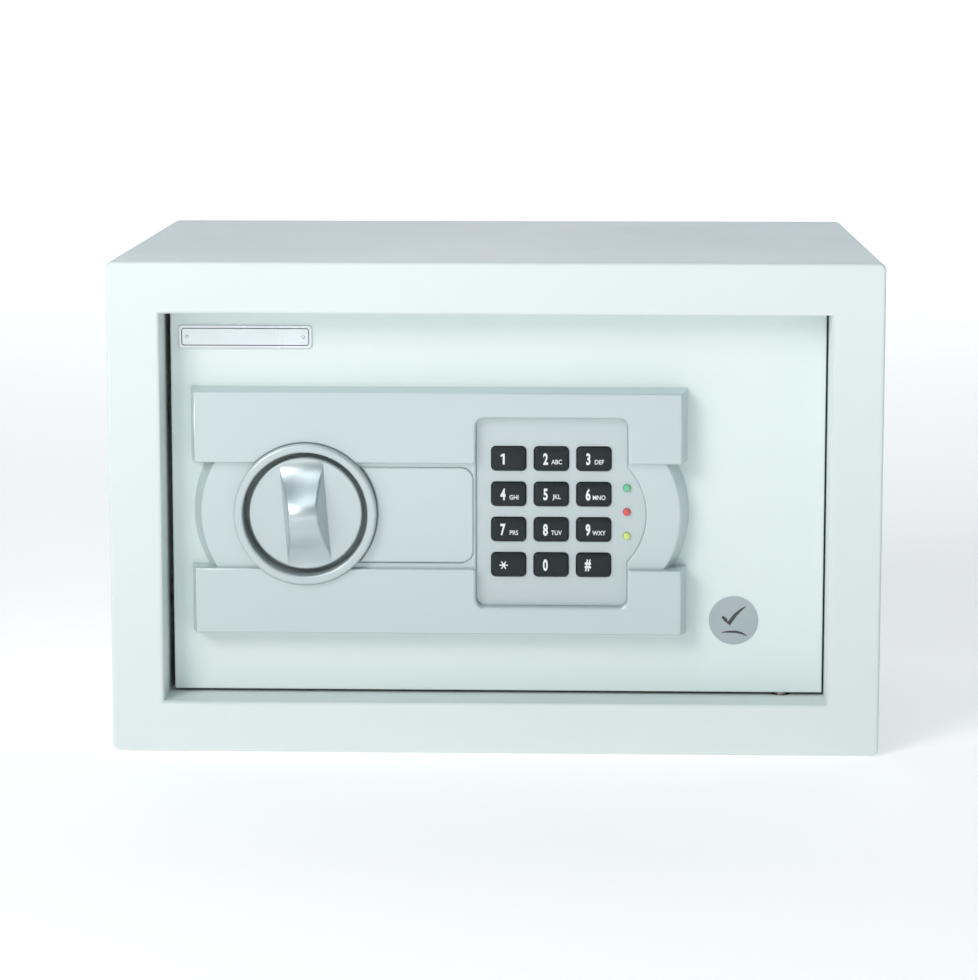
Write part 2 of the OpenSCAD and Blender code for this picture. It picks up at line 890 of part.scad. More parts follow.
module override_lock_barrel() {
    color("silver")
        difference() {
            union() {
                rod_y(barrel_x, lock_z, tile_floor + 0.1, tile_floor + 1.5, barrel_r + 1.5);
                rod_y(barrel_x, lock_z, tile_floor + 1.5, barrel_end, barrel_r);
            }
            rod_y(barrel_x, lock_z, tile_floor - 1, barrel_end + 1, plug_r + run_fit);
        }
}

module override_lock_nut() {
    color("silver")
        deep(door_back + bracket_wall, door_back + bracket_wall + 3.5)
            translate([barrel_x, lock_z])
                difference() {
                    circle(13, $fn = 6);
                    circle(barrel_r);
                }
}

module override_lock_plug() {
    color([0.78, 0.70, 0.45])
        difference() {
            union() {
                rod_y(barrel_x, lock_z, tile_floor + 0.1, barrel_end, plug_r);
                rod_y(barrel_x, lock_z, barrel_end, barrel_end + 3.5, tail_r);
            }
            slab([barrel_x - 0.6, barrel_x + 0.6], [tile_floor - 1, tile_floor + 7],
                [lock_z - 3.5, lock_z + 3.5]);
        }
}

module override_lock_cam() {
    color(steel_colour)
        difference() {
            deep(barrel_end + 0.5, barrel_end + 2.5)
                translate([barrel_x, lock_z]) {
                    circle(5);
                    pane([0, cam_reach], [-4, 4], 2);
                }
            rod_y(barrel_x, lock_z, barrel_end, barrel_end + 4, tail_r);
        }
}

// ---- Screws and wiring ----

module guide_screws() {
    color("silver")
        for (spot = guide_spots) {
            rod_y(spot[0], spot[1], door_back, carriage_depth + carriage_t + 0.4, guide_r);
            rod_y(spot[0], spot[1], door_back + bracket_wall, carriage_depth - 0.4, guide_r + 1.2);
            rod_y(spot[0], spot[1], carriage_depth + carriage_t + 0.4,
                carriage_depth + carriage_t + 2.4, guide_r + 2);
        }
}

module panel_screws() {
    color("silver")
        for (spot = panel_screw_spots) {
            rod_y(spot[0], spot[1], band_depth + 5, door_back, screw_r);
            rod_y(spot[0], spot[1], door_back, door_back + 2, head_r);
        }
}

module cover_screws() {
    color("silver")
        for (spot = cover_screw_spots) {
            rod_y(spot[0], spot[1], door_recess + 0.8, door_back + cover_t, screw_r);
            rod_y(spot[0], spot[1], door_back + cover_t, door_back + cover_t + 2, head_r);
        }
}

module wiring_loom() {
    corner_x = tray_x - tray_w / 2 + 10;
    color([0.70, 0.12, 0.10]) {
        rod_y(wire_x, wire_z, board_depth + board_t, wire_depth, wire_r);
        for (x = [wire_x, corner_x])
            translate([x, front_y + wire_depth, wire_z])
                sphere(wire_r);
        rod_x([coil_x + 11, corner_x], wire_depth, wire_z, wire_r);
        rod_z(corner_x, wire_depth, [tray_z + tray_h / 2, wire_z], wire_r);
    }
}

body_shell();
front_frame();
back_panel();
strike_plate();
door_stop();
hinge_brackets();
hinge_bushes();
floor_mat();
door_plate();
hinge_pins();
hinge_blocks();
lock_bracket();
rear_cover();
battery_tray();
batteries();
battery_contacts();
lock_panel();
keypad_plate();
knob_bezel();
keypad_dome_sheet();
keypad_circuit_board();
status_lamp_green();
status_lamp_red();
status_lamp_yellow();
solenoid_frame();
solenoid_coil();
override_lock_barrel();
override_lock_nut();
wiring_loom();
cover_screws();
panel_screws();
guide_screws();
name_badge();
inspection_label();
plunger_spring();
knob();
knob_spindle();
drive_cam();
spindle_circlip();
bolt_carriage();
bolt_upper();
bolt_lower();
solenoid_plunger();
key(0, 0);  // key_1
key(1, 0);  // key_2
key(2, 0);  // key_3
key(0, 1);  // key_4
key(1, 1);  // key_5
key(2, 1);  // key_6
key(0, 2);  // key_7
key(1, 2);  // key_8
key(2, 2);  // key_9
key(0, 3);  // key_star
key(1, 3);  // key_0
key(2, 3);  // key_hash
reset_button();
battery_lid();
key_cover();
override_lock_plug();
override_lock_cam();
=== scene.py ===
"""Looks of the room safe: finishes, rounded sheet metal, lock panel, keys and a plain studio."""
import json
import math

import bmesh
import bpy
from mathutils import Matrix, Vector

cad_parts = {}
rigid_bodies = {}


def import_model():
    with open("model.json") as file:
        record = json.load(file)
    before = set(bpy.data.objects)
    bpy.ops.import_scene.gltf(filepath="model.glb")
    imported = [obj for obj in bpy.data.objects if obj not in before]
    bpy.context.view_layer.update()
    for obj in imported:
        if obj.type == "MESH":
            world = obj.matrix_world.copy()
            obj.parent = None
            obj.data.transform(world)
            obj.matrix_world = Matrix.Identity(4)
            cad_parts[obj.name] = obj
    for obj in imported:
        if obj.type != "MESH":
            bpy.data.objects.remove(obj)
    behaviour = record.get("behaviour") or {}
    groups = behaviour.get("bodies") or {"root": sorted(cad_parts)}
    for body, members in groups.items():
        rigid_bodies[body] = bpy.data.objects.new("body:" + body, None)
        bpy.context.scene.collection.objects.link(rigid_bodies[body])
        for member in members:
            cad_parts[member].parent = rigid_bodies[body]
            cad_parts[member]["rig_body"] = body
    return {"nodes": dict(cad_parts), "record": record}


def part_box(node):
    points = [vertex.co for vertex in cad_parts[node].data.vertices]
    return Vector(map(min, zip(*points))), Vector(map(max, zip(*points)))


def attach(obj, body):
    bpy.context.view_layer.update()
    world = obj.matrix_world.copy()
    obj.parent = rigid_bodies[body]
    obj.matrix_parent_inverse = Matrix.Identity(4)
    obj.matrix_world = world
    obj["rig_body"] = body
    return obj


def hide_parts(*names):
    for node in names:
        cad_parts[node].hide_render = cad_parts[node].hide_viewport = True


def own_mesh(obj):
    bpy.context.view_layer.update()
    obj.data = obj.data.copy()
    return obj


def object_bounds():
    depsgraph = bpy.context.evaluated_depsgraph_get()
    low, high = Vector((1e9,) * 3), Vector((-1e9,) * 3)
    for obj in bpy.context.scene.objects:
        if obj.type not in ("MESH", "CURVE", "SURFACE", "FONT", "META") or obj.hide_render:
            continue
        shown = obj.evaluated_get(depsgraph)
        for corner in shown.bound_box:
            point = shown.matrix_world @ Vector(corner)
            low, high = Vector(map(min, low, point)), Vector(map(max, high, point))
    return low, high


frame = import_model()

bl_info = {
    "name": "Room safe",
    "version": (1, 0, 0),
    "blender": (4, 5, 0),
    "location": "3D View > Sidebar > Room safe",
    "description": "Builds the looks of a small hotel safe round its fixed frame",
    "category": "Object",
}

MM = 0.001
NEARLY_ZERO = 0.001
CAD_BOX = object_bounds()
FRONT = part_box("front_frame")[0].y
SLOT_OF = {part["node"]: part["material_slot"] for part in frame["record"]["subparts"]}
KEY_NAMES = ["key_1", "key_2", "key_3", "key_4", "key_5", "key_6", "key_7", "key_8", "key_9",
             "key_star", "key_0", "key_hash"]
KEY_LEGENDS = {
    "key_1": ("1", ""),
    "key_2": ("2", "ABC"),
    "key_3": ("3", "DEF"),
    "key_4": ("4", "GHI"),
    "key_5": ("5", "JKL"),
    "key_6": ("6", "MNO"),
    "key_7": ("7", "PRS"),
    "key_8": ("8", "TUV"),
    "key_9": ("9", "WXY"),
    "key_star": ("*", ""),
    "key_0": ("0", ""),
    "key_hash": ("#", ""),
}


# Where a key's legends sit, from the key's middle, and how big they are, in mm
DIGIT = {"size": 6.3, "squeeze": 0.62, "right": -2.3, "up": 0.1, "bold": 0.22}
LETTERS = {"size": 2.6, "squeeze": 0.86, "right": 2.15, "up": -1.1, "bold": 0.04}
STAR_RIGHT = -2.0


# ---- Settings ----

class SafeColours(bpy.types.PropertyGroup):
    """Colours of the painted and moulded pieces."""
    cabinet: bpy.props.FloatVectorProperty(
        name="Cabinet", description="Powder coat of the cabinet",
        subtype="COLOR", size=3, min=0, max=1, default=(0.75, 0.82, 0.805))
    door: bpy.props.FloatVectorProperty(
        name="Door", description="Powder coat of the door",
        subtype="COLOR", size=3, min=0, max=1, default=(0.78, 0.865, 0.85))
    panel: bpy.props.FloatVectorProperty(
        name="Lock panel", description="Silver finish of the lock panel",
        subtype="COLOR", size=3, min=0, max=1, default=(0.575, 0.655, 0.665))
    knob: bpy.props.FloatVectorProperty(
        name="Knob", description="Silver finish of the knob and its ring",
        subtype="COLOR", size=3, min=0, max=1, default=(0.545, 0.62, 0.63))
    keys: bpy.props.FloatVectorProperty(
        name="Keys", description="Dark plastic of the keys",
        subtype="COLOR", size=3, min=0, max=1, default=(0.008, 0.015, 0.018))


class SafeShapes(bpy.types.PropertyGroup):
    """Sizes of the details that the frame leaves plain."""
    fold: bpy.props.FloatProperty(
        name="Fold radius", description="Radius of the folds of the front rim",
        subtype="DISTANCE", unit="LENGTH", default=1.4 * MM, min=0.4 * MM, max=1.45 * MM)
    mould_round: bpy.props.FloatProperty(
        name="Mould rounding", description="Rounding of the lock panel's edges",
        subtype="DISTANCE", unit="LENGTH", default=0.7 * MM, min=0.2 * MM, max=1.0 * MM)
    grip_crest: bpy.props.FloatProperty(
        name="Grip crest", description="Width of the knob's grip at its crest",
        subtype="DISTANCE", unit="LENGTH", default=12.4 * MM, min=8 * MM, max=16 * MM)
    key_crown: bpy.props.FloatProperty(
        name="Key crown", description="How far a key's face bulges",
        subtype="DISTANCE", unit="LENGTH", default=0.3 * MM, min=0, max=0.6 * MM)


class SafeStudio(bpy.types.PropertyGroup):
    """Camera and light."""
    lens: bpy.props.FloatProperty(
        name="Lens", description="Focal length of the camera",
        subtype="DISTANCE_CAMERA", default=107.17, min=20, max=300)
    tilt: bpy.props.FloatProperty(
        name="Tilt", description="How far the camera looks down",
        subtype="ANGLE", unit="ROTATION", default=math.radians(7.3), min=0, max=math.radians(60))
    turn: bpy.props.FloatProperty(
        name="Turn", description="How far the camera looks to the left",
        subtype="ANGLE", unit="ROTATION", default=math.radians(1.69), min=-0.5, max=0.5)
    key_light: bpy.props.FloatProperty(
        name="Key light", description="Power of the large soft light",
        subtype="POWER", unit="POWER", default=10.5, min=0, max=500)
    room_light: bpy.props.FloatProperty(
        name="Room light", description="Strength of the even light of the room",
        default=0.62, min=0, max=3)


# ---- Shader groups ----

def new_group(name, inputs, outputs):
    """An empty node group with the given sockets, as (tree, input node, output node)."""
    tree = bpy.data.node_groups.new(name, "ShaderNodeTree")
    for label, kind, value in inputs:
        socket = tree.interface.new_socket(name=label, in_out="INPUT", socket_type=kind)
        socket.default_value = value
    for label, kind in outputs:
        tree.interface.new_socket(name=label, in_out="OUTPUT", socket_type=kind)
    return tree, tree.nodes.new("NodeGroupInput"), tree.nodes.new("NodeGroupOutput")


def math_node(tree, operation, first, second=None, third=None, clamp=False):
    """A math node fed by sockets or numbers; returns its output."""
    node = tree.nodes.new("ShaderNodeMath")
    node.operation = operation
    node.use_clamp = clamp
    for slot, value in zip(node.inputs, (first, second, third)):
        if isinstance(value, (int, float)):
            slot.default_value = value
        elif value is not None:
            tree.links.new(value, slot)
    return node.outputs[0]


def mix_colours(tree, factor, first, second):
    """A colour mix fed by sockets; returns its output."""
    node = tree.nodes.new("ShaderNodeMix")
    node.data_type = "RGBA"
    tree.links.new(factor, node.inputs["Factor"])
    for slot, value in ((node.inputs["A"], first), (node.inputs["B"], second)):
        if isinstance(value, (tuple, list)):
            slot.default_value = value
        else:
            tree.links.new(value, slot)
    return node.outputs["Result"]


def noise_node(tree, vector, scale, detail, roughness=0.5):
    """A noise texture; scale is a socket or a number. Returns its grey output."""
    node = tree.nodes.new("ShaderNodeTexNoise")
    node.inputs["Detail"].default_value = detail
    node.inputs["Roughness"].default_value = roughness
    tree.links.new(vector, node.inputs["Vector"])
    if isinstance(scale, (int, float)):
        node.inputs["Scale"].default_value = scale
    else:
        tree.links.new(scale, node.inputs["Scale"])
    return node.outputs["Fac"]


def spread(tree, value, low, high):
    """Stretches a grey value from 0.3..0.7 to low..high."""
    node = tree.nodes.new("ShaderNodeMapRange")
    node.inputs["From Min"].default_value = 0.3
    node.inputs["From Max"].default_value = 0.7
    tree.links.new(value, node.inputs["Value"])
    for label, limit in (("To Min", low), ("To Max", high)):
        if isinstance(limit, (int, float)):
            node.inputs[label].default_value = limit
        else:
            tree.links.new(limit, node.inputs[label])
    return node.outputs["Result"]


def grain_group():
    """Fine grain, broad patches and uneven gloss of a coated or moulded surface."""
    tree, inside, outside = new_group(
        "Surface Grain",
        [("Colour", "NodeSocketColor", (0.8, 0.8, 0.8, 1)),
         ("Patch Colour", "NodeSocketColor", (0.7, 0.7, 0.7, 1)),
         ("Grain Scale", "NodeSocketFloat", 900.0), ("Patch Scale", "NodeSocketFloat", 18.0),
         ("Roughness", "NodeSocketFloat", 0.45), ("Roughness Spread", "NodeSocketFloat", 0.08),
         ("Stretch", "NodeSocketVector", (1, 1, 1))],
        [("Colour", "NodeSocketColor"), ("Roughness", "NodeSocketFloat"),
         ("Height", "NodeSocketFloat")])
    speckle_size, speckle_share = 0.37, 0.25
    place = tree.nodes.new("ShaderNodeTexCoord").outputs["Object"]
    stretch = tree.nodes.new("ShaderNodeVectorMath")
    stretch.operation = "MULTIPLY"
    tree.links.new(place, stretch.inputs[0])
    tree.links.new(inside.outputs["Stretch"], stretch.inputs[1])
    grain = noise_node(tree, stretch.outputs[0], inside.outputs["Grain Scale"], 2.0)
    patches = noise_node(tree, place, inside.outputs["Patch Scale"], 4.0, 0.6)
    speckle_scale = math_node(tree, "MULTIPLY", inside.outputs["Grain Scale"], speckle_size)
    speckle = noise_node(tree, stretch.outputs[0], speckle_scale, 1.0)
    patch_mask = spread(tree, patches, 0.0, 1 - speckle_share)
    speckle_mask = math_node(tree, "MULTIPLY", speckle, speckle_share)
    mask = math_node(tree, "ADD", patch_mask, speckle_mask, clamp=True)
    shown = mix_colours(tree, mask, inside.outputs["Colour"], inside.outputs["Patch Colour"])
    tree.links.new(shown, outside.inputs["Colour"])
    gloss = inside.outputs["Roughness"], inside.outputs["Roughness Spread"]
    low, high = (math_node(tree, operation, *gloss) for operation in ("SUBTRACT", "ADD"))
    tree.links.new(spread(tree, patches, low, high), outside.inputs["Roughness"])
    tree.links.new(grain, outside.inputs["Height"])
    return tree


def wear_group():
    """Rubbed edges: where a rounded normal leaves the true one, broken up by noise."""
    tree, inside, outside = new_group(
        "Edge Wear",
        [("Colour", "NodeSocketColor", (0.8, 0.8, 0.8, 1)),
         ("Worn Colour", "NodeSocketColor", (0.9, 0.9, 0.9, 1)),
         ("Width", "NodeSocketFloat", 0.0008), ("Amount", "NodeSocketFloat", 0.5)],
        [("Colour", "NodeSocketColor"), ("Mask", "NodeSocketFloat")])
    sharpness = 3.0
    edge = tree.nodes.new("ShaderNodeBevel")
    edge.samples = 4
    tree.links.new(inside.outputs["Width"], edge.inputs["Radius"])
    shape = tree.nodes.new("ShaderNodeNewGeometry")
    compare = tree.nodes.new("ShaderNodeVectorMath")
    compare.operation = "DOT_PRODUCT"
    tree.links.new(edge.outputs["Normal"], compare.inputs[0])
    tree.links.new(shape.outputs["Normal"], compare.inputs[1])
    bent = math_node(tree, "SUBTRACT", 1.0, compare.outputs["Value"], clamp=True)
    place = tree.nodes.new("ShaderNodeTexCoord").outputs["Object"]
    broken = spread(tree, noise_node(tree, place, 220.0, 3.0), 0.0, 1.0)
    rubbed = math_node(tree, "MULTIPLY", bent, sharpness, clamp=True)
    mask = math_node(tree, "MULTIPLY", rubbed, broken)
    mask = math_node(tree, "MULTIPLY", mask, inside.outputs["Amount"], clamp=True)
    shown = mix_colours(tree, mask, inside.outputs["Colour"], inside.outputs["Worn Colour"])
    tree.links.new(shown, outside.inputs["Colour"])
    tree.links.new(mask, outside.inputs["Mask"])
    return tree


def dust_and_shade_group():
    """Thin dust on upward faces, and painted shade in tight corners found by ambient occlusion."""
    tree, inside, outside = new_group(
        "Dust And Corner Shade",
        [("Colour", "NodeSocketColor", (0.8, 0.8, 0.8, 1)),
         ("Dust And Shade Colour", "NodeSocketColor", (0.6, 0.6, 0.56, 1)),
         ("Amount", "NodeSocketFloat", 0.2)],
        [("Colour", "NodeSocketColor"), ("Mask", "NodeSocketFloat")])
    flat_share, corner_reach = 0.8, 3 * MM
    shape = tree.nodes.new("ShaderNodeNewGeometry")
    parts = tree.nodes.new("ShaderNodeSeparateXYZ")
    tree.links.new(shape.outputs["Normal"], parts.inputs[0])
    upward = math_node(tree, "MULTIPLY", parts.outputs["Z"], flat_share, clamp=True)
    # Painted shade: ambient occlusion picks out tight corners, which take on the mixed-in colour
    # like shade.
    corner = tree.nodes.new("ShaderNodeAmbientOcclusion")
    corner.samples = 4
    corner.inputs["Distance"].default_value = corner_reach
    corner_shade = math_node(tree, "SUBTRACT", 1.0, corner.outputs["AO"], clamp=True)
    place = tree.nodes.new("ShaderNodeTexCoord").outputs["Object"]
    broken = spread(tree, noise_node(tree, place, 60.0, 5.0, 0.65), 0.0, 1.0)
    upward_and_occluded = math_node(tree, "ADD", upward, corner_shade, clamp=True)
    mask = math_node(tree, "MULTIPLY", upward_and_occluded, broken)
    mask = math_node(tree, "MULTIPLY", mask, inside.outputs["Amount"], clamp=True)
    shown = mix_colours(tree, mask, inside.outputs["Colour"], inside.outputs["Dust And Shade Colour"])
    tree.links.new(shown, outside.inputs["Colour"])
    tree.links.new(mask, outside.inputs["Mask"])
    return tree


# ---- Finishes ----

def lighter(colour, share):
    """The colour moved towards white by a share, or towards black by a negative one."""
    goal = 1.0 if share > 0 else 0.0
    return tuple(c + (goal - c) * abs(share) for c in colour)


def add_group(tree, name, values):
    """Places a shared group in a material and sets its inputs."""
    node = tree.nodes.new("ShaderNodeGroup")
    node.node_tree = bpy.data.node_groups[name]
    for label, value in values.items():
        node.inputs[label].default_value = value
    return node


def finish(name, colour, patch=-0.05, roughness=0.45, roughness_spread=0.06, metallic=0.0,
           grain=900.0, patch_scale=18.0, bump=0.08, bump_depth=0.00008, stretch=(1, 1, 1),
           worn=None, wear=0.0, wear_width=0.0006, dust_and_shade=0.0, coat=0.0, coat_roughness=0.2,
           sheen=0.0, shine=0.5, glow=0.0):
    """A material made of the shared groups and one Principled shader."""
    material = bpy.data.materials.new(name)
    material.use_nodes = True
    tree = material.node_tree
    shader = tree.nodes["Principled BSDF"]
    surface = add_group(tree, "Surface Grain", {
        "Colour": (*colour, 1), "Patch Colour": (*lighter(colour, patch), 1),
        "Grain Scale": grain, "Patch Scale": patch_scale,
        "Roughness": roughness, "Roughness Spread": roughness_spread, "Stretch": stretch})
    shown = surface.outputs["Colour"]
    if wear:
        edges = add_group(tree, "Edge Wear", {
            "Worn Colour": (*(worn or lighter(colour, 0.5)), 1), "Width": wear_width,
            "Amount": wear})
        tree.links.new(shown, edges.inputs["Colour"])
        shown = edges.outputs["Colour"]
    if dust_and_shade:
        # Dust on upward faces, and painted shade in tight corners from ambient occlusion.
        dust_and_shade_node = add_group(tree, "Dust And Corner Shade", {"Amount": dust_and_shade})
        tree.links.new(shown, dust_and_shade_node.inputs["Colour"])
        shown = dust_and_shade_node.outputs["Colour"]
    tree.links.new(shown, shader.inputs["Base Color"])
    tree.links.new(surface.outputs["Roughness"], shader.inputs["Roughness"])
    bumps = tree.nodes.new("ShaderNodeBump")
    bumps.inputs["Strength"].default_value = bump
    bumps.inputs["Distance"].default_value = bump_depth
    tree.links.new(surface.outputs["Height"], bumps.inputs["Height"])
    tree.links.new(bumps.outputs["Normal"], shader.inputs["Normal"])
    for label, value in (("Metallic", metallic), ("Coat Weight", coat),
                         ("Coat Roughness", coat_roughness), ("Sheen Weight", sheen),
                         ("Specular IOR Level", shine)):
        shader.inputs[label].default_value = value
    if glow:
        tree.links.new(shown, shader.inputs["Emission Color"])
        shader.inputs["Emission Strength"].default_value = glow
    return material


def studio_paper():
    """The sweep's paper, which glows least round the safe so that it stays evenly pale."""
    behind, ahead = (-0.1, 2.2), (-0.95, -0.38)
    material = finish("studio_paper", (0.91, 0.90, 0.89), patch=-0.01, roughness=0.7,
                      grain=60.0, patch_scale=2.0, bump=0.03)
    tree, inside, outside = new_group(
        "Distance Fade",
        [("Near Colour", "NodeSocketColor", (0.37, 0.36, 0.35, 1)),
         ("Far Colour", "NodeSocketColor", (0.62, 0.62, 0.62, 1)),
         ("Front Colour", "NodeSocketColor", (1.05, 1.05, 1.05, 1))],
        [("Colour", "NodeSocketColor")])
    parts = tree.nodes.new("ShaderNodeSeparateXYZ")
    tree.links.new(tree.nodes.new("ShaderNodeTexCoord").outputs["Object"], parts.inputs[0])
    fades = []
    for nearest, furthest in (behind, ahead):
        fade = tree.nodes.new("ShaderNodeMapRange")
        fade.interpolation_type = "SMOOTHSTEP"
        fade.inputs["From Min"].default_value = nearest
        fade.inputs["From Max"].default_value = furthest
        tree.links.new(parts.outputs["Y"], fade.inputs["Value"])
        fades.append(fade.outputs["Result"])
    glow = mix_colours(tree, fades[0], inside.outputs["Near Colour"],
                       inside.outputs["Far Colour"])
    tree.links.new(mix_colours(tree, fades[1], inside.outputs["Front Colour"], glow),
                   outside.inputs["Colour"])
    fading = material.node_tree.nodes.new("ShaderNodeGroup")
    fading.node_tree = tree
    shader = material.node_tree.nodes["Principled BSDF"]
    material.node_tree.links.new(fading.outputs["Colour"], shader.inputs["Emission Color"])
    shader.inputs["Emission Strength"].default_value = 1
    return material


def make_finishes():
    """One material for each material slot of the record, and the inks and stage."""
    colours = bpy.context.scene.safe_colours
    paint = dict(roughness=0.46, grain=1300.0, patch_scale=7.0, bump=0.22, bump_depth=0.00006)
    steel = dict(metallic=1.0, roughness=0.36, roughness_spread=0.1, grain=700.0, bump=0.12,
                 patch_scale=60.0, wear=0.3, worn=(0.85, 0.86, 0.88))
    silver = dict(metallic=0.35, roughness=0.34, roughness_spread=0.03, grain=2600.0,
                  patch_scale=9.0, bump=0.05, patch=-0.03, wear=0.25, wear_width=0.0005,
                  dust_and_shade=0.08, coat=0.15, coat_roughness=0.3)
    plastic = dict(roughness=0.5, grain=1500.0, bump=0.1, patch_scale=30.0)
    lens = dict(roughness=0.16, bump=0.02, coat=0.6, glow=0.12)
    ink = dict(grain=2500.0, bump=0.1)
    looks = {
        "cabinet_paint": (colours.cabinet, {**paint, "patch": -0.035, "wear": 0.2,
                                            "wear_width": 0.001, "dust_and_shade": 0.18}),
        "door_paint": (colours.door, {**paint, "patch": -0.03, "wear": 0.15,
                                      "wear_width": 0.0008, "dust_and_shade": 0.12}),
        "zinc_steel": ((0.56, 0.57, 0.56), {**steel, "patch": -0.18}),
        "bronze": ((0.46, 0.27, 0.10), dict(metallic=1.0, roughness=0.42, grain=1800.0,
                                            bump=0.25)),
        "felt": ((0.055, 0.06, 0.068), dict(patch=0.12, roughness=0.95, roughness_spread=0.03,
                                            grain=1100.0, bump=0.9, bump_depth=0.0004,
                                            sheen=0.5, dust_and_shade=0.1)),
        "lid_plastic": ((0.62, 0.65, 0.65), plastic),
        "black_plastic": ((0.02, 0.021, 0.023), plastic),
        "cell_wrap": ((0.04, 0.13, 0.30), dict(metallic=0.35, roughness=0.25, grain=500.0,
                                               bump=0.03, coat=0.5)),
        "spring_steel": ((0.68, 0.69, 0.70), {**steel, "patch": -0.1}),
        "panel_plastic": (colours.panel, silver),
        "plate_plastic": (lighter(colours.panel, -0.06), {**silver, "bump": 0.12}),
        "bezel_plastic": (colours.knob, silver),
        "knob_plastic": (colours.knob, {**silver, "metallic": 0.7, "roughness": 0.33}),
        "dome_rubber": ((0.25, 0.26, 0.28), dict(roughness=0.75, bump=0.15)),
        "board": ((0.01, 0.10, 0.04), dict(roughness=0.35, grain=300.0, bump=0.15, coat=0.4)),
        "lamp_green": ((0.10, 0.52, 0.26), {**lens, "patch": 0.2}),
        "lamp_red": ((0.68, 0.03, 0.04), {**lens, "patch": 0.15}),
        "lamp_yellow": ((0.58, 0.70, 0.16), {**lens, "patch": 0.2}),
        "copper_wire": ((0.60, 0.22, 0.08), dict(metallic=0.9, roughness=0.3, grain=1200.0,
                                                 bump=0.5, bump_depth=0.0003,
                                                 stretch=(0.05, 0.05, 2))),
        "chrome": ((0.78, 0.79, 0.81), dict(metallic=1.0, roughness=0.12, roughness_spread=0.05,
                                            grain=900.0, bump=0.03, stretch=(0.1, 1, 1),
                                            wear=0.2)),
        "brass": ((0.66, 0.50, 0.20), dict(metallic=1.0, roughness=0.28, grain=1200.0,
                                           bump=0.1)),
        "wire_red": ((0.45, 0.02, 0.02), plastic),
        "badge_metal": ((0.70, 0.75, 0.77), dict(metallic=0.6, roughness=0.3, grain=1500.0,
                                                 bump=0.06, stretch=(0.06, 1, 1),
                                                 patch_scale=40.0)),
        "label": ((0.36, 0.43, 0.45), dict(patch=0.1, roughness=0.3, grain=300.0, bump=0.05,
                                           coat=0.3)),
        "key_black": (colours.keys, dict(patch=0.008, roughness=0.36, grain=2200.0, bump=0.14,
                                         patch_scale=90.0, wear=0.12, worn=(0.10, 0.11, 0.12),
                                         dust_and_shade=0.02, shine=0.3)),
        "red_plastic": ((0.5, 0.02, 0.02), dict(roughness=0.25, bump=0.04, coat=0.4)),
        "white_ink": ((0.86, 0.88, 0.88), {**ink, "patch": -0.08, "roughness": 0.5}),
        "black_ink": ((0.02, 0.024, 0.026), {**ink, "patch": 0.05, "roughness": 0.45}),
    }
    made = {name: finish(name, colour, **look) for name, (colour, look) in looks.items()}
    made["studio_paper"] = studio_paper()
    return made


# ---- Mesh helpers ----

def cad_copy(node):
    """A CAD node's shape as a new bmesh, welded, with each flat region as one face."""
    weld_distance, flat_angle = 0.002 * MM, math.radians(0.7)
    mesh = bmesh.new()
    mesh.from_mesh(frame["nodes"][node].data)
    bmesh.ops.remove_doubles(mesh, verts=mesh.verts, dist=weld_distance)
    bmesh.ops.dissolve_limit(mesh, angle_limit=flat_angle, verts=mesh.verts, edges=mesh.edges)
    bmesh.ops.recalc_face_normals(mesh, faces=mesh.faces)
    return mesh


def soften(mesh, width, pick=None, least=25.0, segments=3):
    """Rounds the outward edges that bend by more than the least angle and that pick accepts."""
    edges = [edge for edge in mesh.edges
             if len(edge.link_faces) == 2 and edge.is_convex
             and edge.calc_face_angle(0) > math.radians(least)
             and (pick is None or pick(edge.verts[0].co, edge.verts[1].co))]
    if edges:
        bmesh.ops.bevel(mesh, geom=edges, offset=width, offset_type="OFFSET", segments=segments,
                        profile=0.5, affect="EDGES", clamp_overlap=False)


def in_front(depth, slack=0.05):
    """Accepts edges that lie nearer to the viewer than a depth in mm behind the frame's front."""
    limit = FRONT + (depth + slack) * MM
    return lambda first, second: first.y < limit and second.y < limit


def make_piece(name, mesh, body, slot, replaced=(), material=None, crease=38.0, flatten=True):
    """Turns a bmesh into a finished piece that rides on a body."""
    flat_weight = 80
    data = bpy.data.meshes.new(name)
    mesh.to_mesh(data)
    mesh.free()
    data.shade_smooth()
    data.set_sharp_from_angle(angle=math.radians(crease))
    piece = bpy.data.objects.new(name, data)
    bpy.context.scene.collection.objects.link(piece)
    data.materials.append(bpy.data.materials[material or slot])
    if flatten:
        weighting = piece.modifiers.new("Flat faces stay flat", "WEIGHTED_NORMAL")
        weighting.keep_sharp = True
        weighting.weight = flat_weight
    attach(piece, body)
    if replaced:
        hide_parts(*replaced)
    return piece


def body_of_node(node):
    """The name of the body that a CAD node belongs to."""
    return frame["nodes"][node]["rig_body"]


def refined(node, width, pick=None, least=25.0, crease=38.0):
    """Replaces a CAD node with its own shape, its outward edges rounded."""
    mesh = cad_copy(node)
    soften(mesh, width, pick, least)
    return make_piece(node + "_fine", mesh, body_of_node(node), SLOT_OF[node], (node,),
                      crease=crease)


def join_rings(mesh, rings, closed=True):
    """Skins a row of point loops with quads; closed loops wrap round."""
    made = [[mesh.verts.new(point) for point in ring] for ring in rings]
    for first, second in zip(made, made[1:]):
        count = len(first)
        for i in range(count if closed else count - 1):
            j = (i + 1) % count
            mesh.faces.new((first[i], first[j], second[j], second[i]))
    return made


def turned(mesh, x, z, profile, segments=96):
    """Turns a profile of (radius, depth) pairs in mm about an axis that points at the viewer."""
    rings = []
    for radius, depth in profile:
        ring = []
        for i in range(segments):
            angle = 2 * math.pi * i / segments
            ring.append(Vector((x + radius * MM * math.cos(angle), FRONT + depth * MM,
                                z + radius * MM * math.sin(angle))))
        rings.append(ring)
    made = join_rings(mesh, rings)
    tip = 0.02 * MM
    for ring in (made[0], made[-1]):
        if (ring[0].co - ring[segments // 2].co).length < tip:
            middle = sum((v.co for v in ring), Vector()) / segments
            bmesh.ops.pointmerge(mesh, verts=ring, merge_co=middle)
    bmesh.ops.recalc_face_normals(mesh, faces=mesh.faces)


